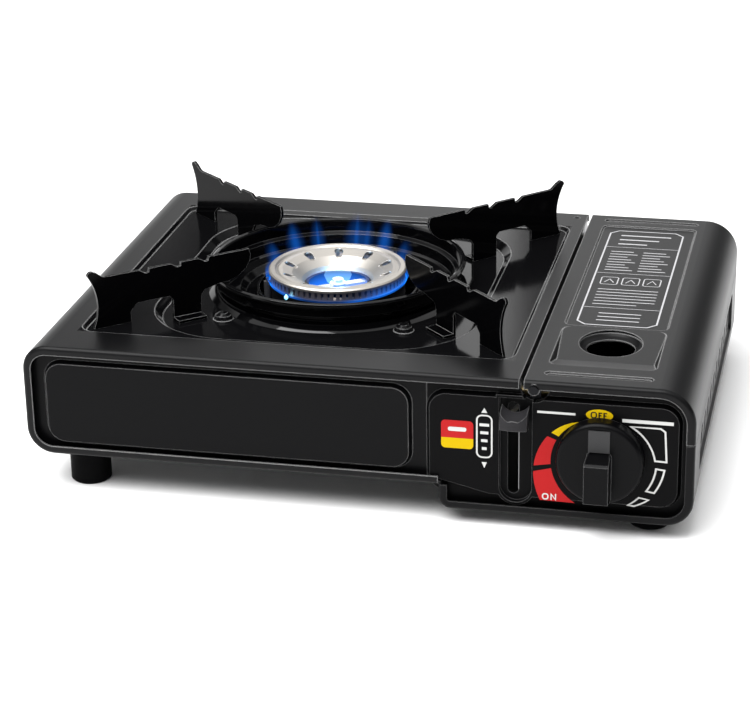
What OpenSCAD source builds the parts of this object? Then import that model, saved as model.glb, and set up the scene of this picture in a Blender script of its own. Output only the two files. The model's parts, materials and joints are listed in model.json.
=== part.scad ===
// Single-burner butane cassette stove, millimetres, +Z up, front at -Y.
// The origin is under the middle of the whole stove, on the table.

/* [Body] */
// Width across the front
body_w = 340; // [334:1:360]
// Depth of the sheet body, without the knob
body_d = 252; // [246:1:276]
// Height of the deck above the table
deck_h = 80; // [79:0.5:85]
// Height of the belly above the table on the burner side
belly_h = 21; // [16:0.5:23]
// Height of the cartridge tray above the table
tray_h = 8; // [6:0.5:9]
// Sheet thickness of casing, tray, lid and panels
sheet = 1; // [0.8:0.1:1.2]
// Outer radius of the upper left edge
deck_edge_r = 13; // [10:1:16]
// Outer radius of the lower left edge
belly_edge_r = 14; // [10:1:18]
// Outer radius of the lower right edge
tray_edge_r = 14; // [10:1:18]
// Outer radius where the tray drops below the belly
drop_edge_r = 6; // [5:1:8]
// Place of the tray's left wall, right of the middle
drop_x = 44; // [40:1:48]
// Width of the rim folded in round the front and the back
rim_w = 4.5; // [4:0.5:5]
// Outer bend radius of that rim
rim_r = 2.2; // [1.8:0.1:2.6]
// Depth of the front and back panels behind the rim
panel_in = 5; // [4.5:0.5:6]
// Height that the panels bulge forward again
panel_bulge = 3; // [2:0.5:3.5]

/* [Deck] */
// Margin between the left side and the sunk part of the deck
recess_left = 22; // [18:0.5:25]
// Margin between the lid gap and the sunk part
recess_right = 6.8; // [6:0.2:12]
// Margin at the front
recess_front = 25; // [22:1:28]
// Margin at the back
recess_back = 23.5; // [22:0.5:30]
// Depth of the sunk part
recess_h = 2; // [1.5:0.1:2.5]
// Corner radius of the sunk part
recess_r = 9; // [6:1:14]
// Width of the deeper well round the burner
well_w = 172; // [166:1:180]
// Depth of that well from front to back
well_d = 190; // [180:1:194]
// Corner radius of the well
well_r = 46; // [30:1:56]
// Depth of the well below the sunk part
well_h = 4; // [3:0.5:4.5]
// Radius of the hole under the drip bowl
deck_hole_r = 56; // [54.5:0.5:57]

/* [Drip bowl] */
// Outer radius of the rolled rim
bowl_rim_r = 69.2; // [67:0.2:72]
// Height of the rim above the deck
bowl_rise = 9.7; // [8:0.1:11]
// Radius of the hole round the burner
bowl_hole_r = 42.5; // [41.5:0.5:44]
// Sheet thickness of the bowl
bowl_t = 1; // [0.8:0.1:1.2]
// Radius of the rolled bead
bead_r = 1.5; // [1.2:0.1:2]

/* [Pan supports] */
// Thickness of the four support plates
arm_t = 1.6; // [1.2:0.1:2.4]
// Height of their top edge above the deck
arm_rise = 25.5; // [23:0.5:30]
// Height of the outer horns above the top edge
horn_h = 4; // [2:0.5:4.5]
// Distance of the inner ends from the burner axis
arm_tip_r = 53; // [51:0.5:57]
// Distance of the outer feet from the sides of the sunk part
foot_in_x = 5; // [4:0.5:9]
// Distance of the outer feet from its front and back
foot_in_y = 7; // [6.5:0.5:13]
// Width of the outer legs
outer_leg_w = 22; // [17:0.5:24]
// Width of the inner legs
inner_leg_w = 16; // [12:0.5:17]
// Width of the window between the legs
window_w = 24; // [20:0.5:26]
// Angle that the right supports turn in towards each other
arm_skew = 4.5; // [0:0.5:5]
// Depth of the notches in their top edge
notch_h = 2.4; // [1.5:0.1:3]

/* [Burner] */
// Radius of the burner cap
cap_r = 37.2; // [36:0.2:38]
// Height of the cap above the deck
cap_rise = 5.5; // [4.5:0.1:6]
// Radius of the open throat
throat_r = 17.7; // [15:0.1:19]
// Number of flame slots
flame_slots = 68; // [48:1:72]
// Width of a flame slot
slot_w = 1.4; // [1:0.1:1.6]
// Height of a flame slot
slot_h = 3.8; // [3:0.1:4.2]
// Number of teardrop ports in the cap
cap_ports = 10; // [8:1:12]
// Angle that the cap is turned by
cap_turn = 12; // [0:1:36]
// Width of the sheet strip that carries the burner
bracket_w = 24; // [20:1:28]
// Length of that strip across its feet
bracket_l = 96; // [90:1:100]
// Outer radius of the mixing tube
tube_r = 8; // [7:0.5:8]

/* [Cartridge bay] */
// Width of the cartridge side, from the lid's left edge to the right side
bay_w = 83.5; // [82:0.5:88]
// Radius of the gas cartridge
cartridge_r = 33.5; // [33:0.5:33.5]
// Length of the gas cartridge
cartridge_l = 188; // [180:1:190]
// Bore of the gas inlet
inlet_r = 2; // [1.6:0.1:2.4]

/* [Lid] */
// Gap between the deck and the lid
lid_gap = 2.2; // [2.1:0.1:3]
// Outer radius of the lid's shoulder
shoulder_r = 18; // [16:1:20]
// Height of the lid's side below the deck
lid_side_h = 28; // [26:1:29]
// Radius of the sight hole
sight_r = 12.2; // [10:0.2:13]
// Radius of the hinge pins
hinge_pin_r = 1.5; // [1.2:0.1:1.8]
// Opening angle of the lid
lid_swing = 95; // [80:1:100]

/* [Knob] */
// Distance of the knob's axis from the right side
knob_in = 45.5; // [44:0.5:50]
// Height of the knob's axis above the table
knob_z = 41.5; // [38:0.5:42]
// Radius of the knob
knob_r = 21.4; // [20:0.1:23]
// Distance that the knob stands in front of the rim
knob_out = 18; // [16:0.5:22]
// Width of the knob's grip bar
bar_w = 12; // [10:0.5:15]
// Radius of the valve stem
stem_r = 3; // [2.5:0.1:3.5]

/* [Lock lever] */
// Distance of the lever left of the lid's edge
lever_in = 5.5; // [5.4:0.1:6]
// Thickness of the lever
lever_t = 2.8; // [2:0.1:3]
// Height of the lever's pivot above the table
lever_z = 42.5; // [41:0.5:43.5]
// Distance of the pivot behind the front rim
lever_back = 75; // [72:1:80]
// Travel of the grip each side of the middle
lever_throw = 17; // [15:0.2:17.4]
// Travel of the cartridge clamp
clamp_travel = 8; // [6:0.5:8]
// Width of the grip
grip_w = 13.4; // [12:0.2:14]
// Height of the grip
grip_h = 11.6; // [10.6:0.2:13]

/* [Feet] */
// Radius of the rubber feet
foot_r = 10.5; // [9:0.5:11.5]
// Distance of the left feet from the left side
foot_left = 26; // [24.5:0.5:40]
// Distance of the right feet from the right side
foot_right = 23; // [21:0.5:34]
// Distance of the feet from the front and the back
foot_end = 21; // [15:0.5:26]

/* [Hidden] */
$fn = 64;

// Clearances: a running fit, a piece at its seat, pieces of one body side by side, and
// pieces that move past each other
run_fit = 0.05;
seat_gap = 0.2;
side_gap = 0.2;
move_gap = 0.5;
over = 1;

black = "#232326";
satin = "#2e2e31";
plastic = "#1b1b1d";
steel = "#b8bcc0";
alloy = "#c9c4bb";
brass = "#c8a04a";
rubber = "#151516";
ceramic = "#ece8de";

// The body's planes
half_w = body_w / 2;
pin_out = 1.1;
front_y = (knob_out - pin_out - body_d) / 2;
back_y = front_y + body_d;
lid_x = half_w - bay_w;
deck_x = lid_x - lid_gap;
lid_z = deck_h - lid_side_h;
panel_y = front_y + panel_in;
control_t = 1.5;
panel_face_y = panel_y - panel_bulge;
back_panel_y = back_y - panel_in;
deck_under = deck_h - sheet;
tray_floor = tray_h + sheet;
belly_floor = belly_h + sheet;

// The sunk part of the deck, with the burner in its middle
recess_x0 = recess_left - half_w;
recess_x1 = deck_x - recess_right;
recess_y0 = front_y + recess_front;
recess_y1 = back_y - recess_back;
recess_w = recess_x1 - recess_x0;
recess_d = recess_y1 - recess_y0;
burner_x = (recess_x0 + recess_x1) / 2;
burner_y = (recess_y0 + recess_y1) / 2;
recess_z = deck_h - recess_h;
well_z = recess_z - well_h;

// Lid hinge, inside the lid's left edge
hinge_x = lid_x + 5;
hinge_z = deck_h - 4.5;
hinge_room = 7.4;
hinge_tab_r = 2.6;
bracket_t = 1.2;
lid_flange_h = 6;
lid_flange_in = 10;

// Knob, valve and lever places
knob_x = half_w - knob_in;
knob_disc_h = 8;
knob_back_y = panel_face_y - 0.8;
cartridge_x = lid_x + 42;
cartridge_z = tray_floor + 0.8 + cartridge_r;
regulator_x0 = knob_x - 17;
regulator_x1 = knob_x + 17;
regulator_y0 = panel_y + control_t + 9.5;
regulator_y1 = regulator_y0 + 22;
regulator_z0 = tray_floor + 15;
regulator_z1 = deck_h - 12;
inlet_y0 = regulator_y1 + 4;
cartridge_y = inlet_y0 + 6;
lever_x = lid_x - lever_in;
lever_y = front_y + lever_back;
lever_reach = lever_back + 1;
lever_angle = asin(lever_throw / lever_reach);
tail_r = clamp_travel / 2 / sin(lever_angle);
peg_r = 2;
grip_aside = 1.4;
grip_out = 8.5;
grip_below = 5;
lip_z = 2.3;
scoop_r = 9;
scoop_h = 3;

// Burner heights
tube_z = well_z - sheet - 4 - tube_r;
cap_z = deck_h + cap_rise;
ring_top = cap_z - 2.1;
ring_bottom = ring_top - slot_h - 1;
ring_r = cap_r - 0.8;
body_bottom = tube_z - tube_r - 2;

// ---------------------------------------------------------------- shared shapes

// Box outline with a radius for each corner, from the lower left counter-clockwise
module corner_box(x0, y0, x1, y1, radii) {
    corners = [[x0, y0], [x1, y0], [x1, y1], [x0, y1]];
    difference() {
        translate([x0, y0]) square([x1 - x0, y1 - y0]);
        for (i = [0 : 3]) if (radii[i] > 0)
            translate(corners[i]) rotate(90 * i) difference() {
                square(2 * radii[i], center = true);
                translate([radii[i], radii[i]]) circle(radii[i]);
                translate([radii[i], 0]) square(radii[i]);
                translate([0, radii[i]]) square(radii[i]);
            }
    }
}

// Outline drawn as x and height, stretched from one depth to another
module along_y(y0, y1) {
    translate([0, y1, 0]) rotate([90, 0, 0]) linear_extrude(y1 - y0) children();
}

// Outline drawn as depth and height, stretched along the width
module along_x(x0, x1) {
    translate([x0, 0, 0]) rotate([90, 0, 90]) linear_extrude(x1 - x0) children();
}

module rod_y(x, z, r, y0, y1) {
    translate([x, y0, z]) rotate([-90, 0, 0]) cylinder(r = r, h = y1 - y0);
}

module rod_x(y, z, r, x0, x1) {
    translate([x0, y, z]) rotate([0, 90, 0]) cylinder(r = r, h = x1 - x0);
}

// Rounded block whose half size and radius change with height by slope
module frustum(w, d, r, z0, z1, slope) {
    module side(span, length) {
        translate([0, length / 2, 0]) rotate([90, 0, 0]) linear_extrude(length)
            polygon([[-span / 2 - slope * z0, z0], [span / 2 + slope * z0, z0],
                     [span / 2 + slope * z1, z1], [-span / 2 - slope * z1, z1]]);
    }
    side(w, d - 2 * r);
    rotate([0, 0, 90]) side(d, w - 2 * r);
    for (x = [-1, 1], y = [-1, 1])
        translate([x * (w / 2 - r), y * (d / 2 - r), z0])
            cylinder(h = z1 - z0, r1 = r + slope * z0, r2 = r + slope * z1);
}

// A field pressed down into sheet whose face is z = 0, as added metal or as the hollow
module pressed_in(w, d, r, h, slope, t, metal) {
    if (metal) frustum(w + 2 * t, d + 2 * t, r + t, -h - t, -t / 2, slope);
    else frustum(w, d, r, -h, over, slope);
}

// A field pressed out of sheet whose face is z = 0
module pressed_out(w, d, r, h, slope, t, metal) {
    if (metal) frustum(w, d, r, -t / 2, h, -slope);
    else frustum(w - 2 * t, d - 2 * t, r - t, -t - over, h - t, -slope);
}

// Point beside a bend of a line of points, at half the sheet's thickness to its left
function beside(points, i, t) =
    let (next = min(i + 1, len(points) - 1), last = max(i - 1, 0),
         d1 = (points[next] - points[next - 1]) / norm(points[next] - points[next - 1]),
         d0 = (points[last + 1] - points[last]) / norm(points[last + 1] - points[last]),
         n0 = [-d0[1], d0[0]], n = (n0 + [-d1[1], d1[0]]) / norm(n0 + [-d1[1], d1[0]]))
    points[i] + n * t / 2 / (n * n0);

// Thin sheet bent along a line of points
module bent_sheet(points, t)
    polygon(concat([for (i = [0 : len(points) - 1]) beside(points, i, t)],
                   [for (i = [len(points) - 1 : -1 : 0]) beside(points, i, -t)]));

// Round-ended slot outline
module slot(length, width) {
    square([length - width, width], center = true);
    for (s = [-1, 1]) translate([s * (length - width) / 2, 0]) circle(d = width);
}

// Section of the folded rim: inward distance along x, depth behind its face along y
module rim_section() {
    difference() {
        translate([rim_r, rim_r]) circle(rim_r);
        translate([rim_r, rim_r]) circle(rim_r - sheet);
        translate([rim_r, 0]) square(2 * rim_r);
        translate([0, rim_r]) square(rim_r);
    }
    translate([rim_r, 0]) square([rim_w - rim_r, sheet]);
}

// Straight stretch of rim; turn is the direction it runs in, with the body on its left
module rim_run(x, z, turn, length) {
    translate([x, z, 0]) rotate([0, 0, turn]) rotate([90, 0, 90])
        linear_extrude(length) rim_section();
}

// Rim round the corner that follows the side running in direction turn
module rim_bend(x, z, r, turn) {
    translate([x, z, 0]) rotate([0, 0, turn - 90]) rotate_extrude(angle = 90)
        translate([r, 0]) mirror([1, 0]) rim_section();
}

// Rims drawn in the plane of the front, made at the front and at the back
module at_both_ends() {
    translate([0, back_y, 0]) rotate([90, 0, 0]) children();
    translate([0, front_y, 0]) mirror([0, 1, 0]) rotate([90, 0, 0]) children();
}

module in_well(z) {
    translate([burner_x, burner_y, z]) children();
}

// ---------------------------------------------------------------- sheet body

module casing_outline(in) {
    corner_box(in - half_w, belly_h + in, half_w, deck_h - in,
               [belly_edge_r - in, 0, 0, deck_edge_r - in]);
}

// Round bumps that stand in the well in front of the drip bowl
dome_r = 5.2;
dome_h = 3.8;
dome_ring_r = 75;
dome_angle = 50;

module well_domes(metal) {
    below = metal ? sheet / 2 : sheet + over;
    in = metal ? 0 : sheet;
    for (a = [dome_angle - 180, -dome_angle])
        in_well(well_z) rotate(a) translate([dome_ring_r, 0]) rotate_extrude()
            polygon([[0, -below], [dome_r - in, -below], [dome_r - in, 0],
                     [dome_r - 1 - in, dome_h - 1.6 - in], [dome_r - 2.8 - in, dome_h - 0.4 - in],
                     [0, dome_h - in]]);
}

module deck_fields(metal) {
    in_well(deck_h)
        pressed_in(recess_w, recess_d, recess_r, recess_h, 1, sheet, metal);
    in_well(recess_z) pressed_in(well_w, well_d, well_r, well_h, 1, sheet, metal);
}

module casing() color(black) difference() {
    union() {
        along_y(front_y + rim_r, back_y - rim_r) difference() {
            casing_outline(0);
            casing_outline(sheet);
            translate([deck_x, belly_h - over]) square([bay_w * 2, body_w]);
            translate([drop_x, belly_h - over]) square([body_w, deck_h - belly_h - 20]);
        }
        at_both_ends() {
            rim_run(deck_x, deck_h, 180, deck_x + half_w - deck_edge_r);
            rim_bend(deck_edge_r - half_w, deck_h - deck_edge_r, deck_edge_r, 180);
            rim_run(-half_w, deck_h - deck_edge_r, 270,
                    deck_h - belly_h - deck_edge_r - belly_edge_r);
            rim_bend(belly_edge_r - half_w, belly_h + belly_edge_r, belly_edge_r, 270);
            rim_run(belly_edge_r - half_w, belly_h, 0, drop_x + half_w - belly_edge_r);
        }
        deck_fields(true);
    }
    difference() {
        deck_fields(false);
        well_domes(true);
    }
    well_domes(false);
    in_well(well_z - 2 * sheet) cylinder(r = deck_hole_r, h = 4 * sheet);
    translate([deck_x - recess_right + 1, recess_y1 + 15, deck_under - over])
        cylinder(r = 1.7, h = sheet + 2 * over);
    belly_vents();
}

// Air slots in the belly, in two rows beside the burner
module belly_vents() {
    for (row = [-1, 1], i = [-3 : 3])
        translate([burner_x + i * 22, burner_y + row * 52, belly_h - over])
            linear_extrude(sheet + 2 * over) rotate(90) slot(34, 5);
}

module tray_outline(in) {
    corner_box(drop_x + in, tray_h + in, half_w - in, lid_z + in,
               [drop_edge_r - in, tray_edge_r - in, 0, 0]);
}

tray_top = lid_z - move_gap;
louvre_w = 22;
louvre_d = body_d - 56;
louvre_z = (tray_h + tray_edge_r + tray_top) / 2;

module tray_side(metal) {
    translate([half_w, front_y + body_d / 2, louvre_z]) rotate([0, 90, 0])
        pressed_in(louvre_w, louvre_d, 4, 1.6, 1, sheet, metal);
}

module tray() color(black) difference() {
    union() {
        along_y(front_y + rim_r, back_y - rim_r) difference() {
            tray_outline(0);
            tray_outline(sheet);
            translate([drop_x - over, belly_floor])
                square([bay_w, body_w]);
            translate([drop_x - over, tray_top]) square([body_w, body_w]);
        }
        at_both_ends() {
            rim_run(drop_x, belly_h, 270, belly_h - tray_h - drop_edge_r);
            rim_bend(drop_x + drop_edge_r, tray_h + drop_edge_r, drop_edge_r, 270);
            rim_run(drop_x + drop_edge_r, tray_h, 0,
                    half_w - drop_x - drop_edge_r - tray_edge_r);
            rim_bend(half_w - tray_edge_r, tray_h + tray_edge_r, tray_edge_r, 0);
            rim_run(half_w, tray_h + tray_edge_r, 90, tray_top - tray_h - tray_edge_r);
        }
        tray_side(true);
    }
    tray_side(false);
    for (i = [-5 : 5])
        translate([half_w - 5, front_y + body_d / 2 + i * 17, louvre_z])
            rotate([90, 0, 90]) linear_extrude(10) rotate(58) slot(17, 4.2);
    for (i = [-3 : 3])
        translate([cartridge_x, front_y + body_d / 2 + i * 24, tray_h - over])
            linear_extrude(sheet + 2 * over) slot(18, 4);
}

// ---------------------------------------------------------------- panels

plate_r = 10;

module front_bulge(metal) {
    x0 = 10 - half_w;
    x1 = drop_x - 13.5;
    z0 = belly_h + 5.5;
    z1 = deck_h - 8;
    translate([(x0 + x1) / 2, panel_y, (z0 + z1) / 2]) rotate([90, 0, 0])
        pressed_out(x1 - x0, z1 - z0, plate_r, panel_bulge, 0.5, sheet, metal);
}

module front_panel() color(satin) {
    in = sheet + side_gap;
    difference() {
        union() {
            along_y(panel_y, panel_y + sheet)
                corner_box(in - half_w, belly_h + in, plate_x0 - side_gap, deck_h - in,
                           [belly_edge_r - in, 0, 0, deck_edge_r - in]);
            front_bulge(true);
        }
        front_bulge(false);
    }
}

// Outline that closes the tray end and what is above it, left_x being its left edge
module bay_end_outline(left_x) {
    in = sheet + move_gap;
    corner_box(left_x, belly_floor + side_gap, half_w - in, deck_h - in,
               [0, 0, shoulder_r - in, 0]);
    corner_box(drop_x + in, tray_h + in, half_w - in, deck_h / 2,
               [drop_edge_r - in, tray_edge_r - in, 0, 0]);
}

module hinge_notch() {
    rod_y(hinge_x, hinge_z, hinge_room, front_y - over, back_y + over);
}

plate_x0 = drop_x - 6;
plate_x1 = half_w - 6.7;
plate_z0 = tray_h + 8;
plate_z1 = deck_h - 9;
channel_w = grip_w + 2.8;
channel_x = lever_x + grip_aside;
channel_z1 = plate_z1 - control_t;
channel_z = tray_h + 6;

// Bulging plate of the control panel, its lower left corner cut on a slant
module control_bulge(in, y_front) {
    w = plate_x1 - plate_x0;
    h = plate_z1 - plate_z0;
    difference() {
        translate([(plate_x0 + plate_x1) / 2, panel_y, (plate_z0 + plate_z1) / 2])
            rotate([90, 0, 0])
            frustum(w - 2 * in, h - 2 * in, plate_r - in, -control_t,
                    panel_y - y_front, -0.5);
        translate([plate_x0, panel_face_y - over, plate_z0 + 9 + in])
            rotate([0, 13.4, 0]) translate([-body_w / 4, 0, -body_w / 2])
            cube([body_w, panel_bulge + 2 * over, body_w / 2]);
    }
}

module lever_channel(in, y0) {
    along_y(y0, panel_y + control_t) {
        translate([channel_x, channel_z + channel_w / 2]) circle(channel_w / 2 + in);
        translate([channel_x - channel_w / 2 - in, channel_z + channel_w / 2])
            square([channel_w + 2 * in, channel_z1 + in - channel_z - channel_w / 2]);
    }
}

module control_panel() color(plastic) difference() {
    union() {
        along_y(panel_y, panel_y + control_t) bay_end_outline(plate_x0);
        difference() {
            control_bulge(0, panel_face_y);
            control_bulge(control_t, panel_face_y + control_t);
        }
        lever_channel(control_t, panel_face_y);
    }
    difference() {
        lever_channel(0, panel_face_y - over);
        along_y(panel_y, panel_y + control_t + over)
            translate([lever_x - 40, 0]) square([80, deck_h]);
    }
    along_y(panel_y - over, panel_y + control_t + over)
        translate([lever_x, lever_z - 0.5]) rotate(90)
        slot(2 * lever_throw + 15, lever_t + 2.8);
    rod_y(knob_x, knob_z, stem_r + 1.5, front_y, regulator_y0);
    hinge_notch();
}

module back_bulge(metal) {
    x0 = 14 - half_w;
    x1 = lid_x - 8;
    z0 = belly_h + 8;
    z1 = deck_h - 10;
    translate([(x0 + x1) / 2, back_panel_y, (z0 + z1) / 2]) rotate([-90, 0, 0])
        pressed_out(x1 - x0, z1 - z0, plate_r, panel_bulge, 0.5, sheet, metal);
}

module back_panel() color(satin) {
    in = sheet + side_gap;
    difference() {
        union() {
            along_y(back_panel_y - sheet, back_panel_y) {
                corner_box(in - half_w, belly_h + in, drop_x + over, deck_h - in,
                           [belly_edge_r - in, 0, 0, deck_edge_r - in]);
                bay_end_outline(drop_x);
            }
            back_bulge(true);
        }
        back_bulge(false);
        hinge_notch();
        for (row = [0, 1], i = [-6 : 6])
            translate([burner_x + i * 15, back_panel_y + panel_bulge + over,
                       belly_h + 22 + row * 16])
                rotate([90, 0, 0]) linear_extrude(3 * panel_bulge) rotate(90)
                slot(12, 3.4);
    }
}

// Heat shield between the burner and the cartridge
module partition() color(steel) difference() {
    translate([deck_x - sheet, panel_y + control_t, tray_floor])
        cube([sheet, back_panel_y - sheet - panel_y - control_t, deck_under - tray_floor]);
    rod_x(regulator_y0 + 6, pipe_z, pipe_r + 1.5, deck_x - 5, deck_x + 5);
    rod_x(lever_y, lever_z, lever_pin_r, deck_x - 5, deck_x + 5);
    along_x(deck_x - 5, deck_x + 5)
        translate([lever_y, lever_z + tail_r]) slot(2 * peg_r + clamp_travel + 3, 2 * peg_r + 3);
    for (i = [0 : 5])
        along_x(deck_x - 5, deck_x + 5)
            translate([burner_y + i * 18, tray_floor + 10]) slot(12, 4);
}

// ---------------------------------------------------------------- lid hinge

module hinge_bracket(y0) {
    color(steel) along_y(y0, y0 + bracket_t) difference() {
        union() {
            translate([hinge_x, hinge_z]) circle(hinge_tab_r);
            translate([hinge_x - hinge_tab_r, hinge_z - 18]) square([2 * hinge_tab_r, 18]);
            translate([deck_x, hinge_z - 18]) square([hinge_x - deck_x, 9]);
        }
        translate([hinge_x, hinge_z]) circle(hinge_pin_r);
    }
}

// Pin with its head outside the lid's ear, end being -1 at the front and 1 at the back
module hinge_pin(end, rim_y, bracket_y) {
    color(steel) {
        rod_y(hinge_x, hinge_z, hinge_pin_r, min(rim_y + end * 0.3, bracket_y),
              max(rim_y + end * 0.3, bracket_y));
        rod_y(hinge_x, hinge_z, hinge_pin_r + 0.7, rim_y + end * (pin_out - 0.4) - 0.4,
              rim_y + end * (pin_out - 0.4) + 0.4);
    }
}

module hinge_bracket_front() hinge_bracket(panel_y + control_t);
module hinge_bracket_back() hinge_bracket(back_panel_y - sheet - bracket_t);
module hinge_pin_front() hinge_pin(-1, front_y, panel_y + control_t + bracket_t);
module hinge_pin_back() hinge_pin(1, back_y, back_panel_y - sheet - bracket_t);

// ---------------------------------------------------------------- lid

sink_h = 2.4;
sink_y0 = front_y + 23;
sink_y1 = front_y + 75;
sink_w = bay_w - 30.5;
field_x = (lid_x + half_w) / 2 - 6.8;
sight_y = front_y + 58;
sight_lip = 3.7;

// Finger dip in the lid, sloping down from its back edge and up again at its front
module finger_dip(metal) {
    below = metal ? sheet : 0;
    intersection() {
        translate([field_x, (sink_y0 + sink_y1) / 2, deck_h])
            pressed_in(sink_w, sink_y1 - sink_y0, 5, sink_h, 1, sheet, metal);
        along_x(lid_x, half_w) translate([0, deck_h])
            polygon([[sink_y0 - 3, over], [sink_y0 - 3, -below], [sink_y0, -below],
                     [sink_y0 + 13, -sink_h - below], [sink_y1, -below],
                     [sink_y1 + 3, -below], [sink_y1 + 3, over]]);
    }
}

module lid_fields(metal) {
    face_y0 = sink_y1 + 2;
    face_y1 = back_y - 18;
    finger_dip(metal);
    translate([field_x, (face_y0 + face_y1) / 2, deck_h])
        pressed_in(sink_w, face_y1 - face_y0, 4, 0.8, 1, sheet, metal);
    for (y = [front_y + 12, back_y - 10])
        translate([field_x, y, deck_h]) pressed_in(sink_w, 5, 2.4, 1, 1, sheet, metal);
}

// Lip turned down round the sight hole, as added metal or as the hollow
module sight_ring(metal) {
    r = sight_r + sight_lip;
    translate([field_x, sight_y, deck_h]) rotate_extrude()
        if (metal) polygon([[sight_r - 0.5, -5], [sight_r + 1, -5], [r - 0.6, -3.7],
                            [r + 1, -2.4], [r + 1, -0.5], [sight_r - 0.5, -0.5]]);
        else polygon([[0, -6], [sight_r, -6], [sight_r, -4.1], [r - 1.5, -3],
                      [r, -1.8], [r, over], [0, over]]);
}

module lid() color(black) difference() {
    union() {
        along_y(front_y + rim_r, back_y - rim_r) difference() {
            corner_box(lid_x, lid_z, half_w, deck_h, [0, 0, shoulder_r, 0]);
            corner_box(lid_x - over, lid_z - over, half_w - sheet, deck_under,
                       [0, 0, shoulder_r - sheet, 0]);
        }
        at_both_ends() {
            rim_run(half_w, lid_z, 90, lid_side_h - shoulder_r);
            rim_bend(half_w - shoulder_r, deck_h - shoulder_r, shoulder_r, 90);
            rim_run(half_w - shoulder_r, deck_h, 180, bay_w - shoulder_r);
        }
        for (y = [front_y, back_y - sheet])
            along_y(y, y + sheet) {
                translate([hinge_x, hinge_z]) circle(hinge_tab_r + 0.4);
                translate([hinge_x - hinge_tab_r, hinge_z])
                    square([2 * hinge_tab_r, deck_h - rim_r - hinge_z]);
            }
        translate([lid_x, front_y + lid_flange_in, deck_h - lid_flange_h])
            cube([sheet, body_d - 2 * lid_flange_in, lid_flange_h - sheet / 2]);
        lid_fields(true);
        sight_ring(true);
    }
    lid_fields(false);
    sight_ring(false);
    rod_y(hinge_x, hinge_z, hinge_pin_r + run_fit, front_y - over, front_y + 2 * sheet);
    rod_y(hinge_x, hinge_z, hinge_pin_r + run_fit, back_y - 2 * sheet, back_y + over);
}

// ---------------------------------------------------------------- feet

module foot(x, y, h) {
    color(rubber) translate([x, y, 0]) difference() {
        union() {
            cylinder(r1 = foot_r - 1, r2 = foot_r, h = 1);
            translate([0, 0, 1]) cylinder(r = foot_r, h = h - 1);
        }
        translate([0, 0, -over]) cylinder(r = 3.5, h = over + h / 2);
    }
}

module foot_front_left() foot(foot_left - half_w, front_y + foot_end, belly_h);
module foot_back_left() foot(foot_left - half_w, back_y - foot_end, belly_h);
module foot_front_right() foot(half_w - foot_right, front_y + foot_end, tray_h);
module foot_back_right() foot(half_w - foot_right, back_y - foot_end, tray_h);

// ---------------------------------------------------------------- drip bowl, pan supports

bowl_seat = well_z + seat_gap;
bowl_top = deck_h + bowl_rise;
ledge_h = 7.6;

// Pressed bowl with its rim curled outward
module drip_bowl() color(black) in_well(0) rotate_extrude($fn = 96) {
    step_r = deck_hole_r - 2;
    wall_r = bowl_rim_r - bead_r;
    curl_r = bead_r - bowl_t / 2;
    bent_sheet(concat(
        [[bowl_hole_r + bowl_t / 2, bowl_seat + 1], [bowl_hole_r + bowl_t / 2, bowl_seat - 2.2],
         [bowl_hole_r + 1, bowl_seat - 2.8], [step_r - 4, bowl_seat - 2.8],
         [step_r - 1, bowl_seat + bowl_t / 2], [wall_r - 7, bowl_seat + bowl_t / 2],
         [wall_r - 5, bowl_seat + 1.4], [wall_r - 4, bowl_top - ledge_h - 1],
         [wall_r - 1.4, bowl_top - ledge_h]],
        [for (a = [180 : -45 : -90])
            [wall_r + curl_r * cos(a), bowl_top - bead_r + curl_r * sin(a)]]), bowl_t);
}

arm_dx = recess_w / 2 - foot_in_x;
arm_dy = recess_d / 2 - foot_in_y;
arm_reach = norm([arm_dx, arm_dy]);
arm_turn = atan2(arm_dy, arm_dx);
arm_top = deck_h + arm_rise;
window_z = deck_h + 8;

// Side view of a support plate: distance from the burner axis and height
module arm_outline() {
    outer0 = arm_reach - outer_leg_w;
    inner1 = outer0 - window_w;
    inner0 = inner1 - inner_leg_w;
    rim_rest = bowl_top + 0.1;
    difference() {
        union() {
            polygon([[arm_reach, recess_z + seat_gap], [arm_reach + 1, arm_top],
                     [arm_reach - 7, arm_top], [arm_tip_r, arm_top],
                     [arm_tip_r - 1, arm_top - 3], [arm_tip_r - 0.6, arm_top - 6],
                     [arm_tip_r + 2, bowl_top + 5.5], [arm_tip_r + 6.5, bowl_top + 2],
                     [bowl_rim_r - 4, rim_rest], [bowl_rim_r + 1, rim_rest],
                     [inner0 - 2, bowl_top - 2], [inner0, bowl_top - 5],
                     [inner0, well_z + seat_gap], [inner1, well_z + seat_gap],
                     [inner1, window_z - 2], [inner1 + 2, window_z],
                     [outer0 - 4, window_z], [outer0, window_z - 4],
                     [outer0, recess_z + seat_gap]]);
            translate([arm_reach - 1.4, arm_top + horn_h - 2.4]) circle(2.4, $fn = 32);
            polygon([[arm_reach + 1, arm_top - 1], [arm_reach + 1, arm_top + horn_h - 2.4],
                     [arm_reach - 1.4, arm_top + horn_h - 2.4], [arm_reach - 9, arm_top],
                     [arm_reach - 9, arm_top - 1]]);
            translate([arm_reach - 5.2, arm_top - 1.2])
                rotate(38) translate([-4, 0]) square([8, 2.6]);
        }
        translate([arm_reach + 26, (recess_z + arm_top) / 2 - 1]) circle(30, $fn = 96);
        for (s = [arm_reach - 32, arm_reach - 50, arm_reach - 66])
            translate([s, arm_top])
                polygon([[-1.4, 0.1], [-1.1, 0.4 - notch_h], [0, -notch_h], [1, 0.3 - notch_h],
                         [4.6, 0.1]]);
    }
}

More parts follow.
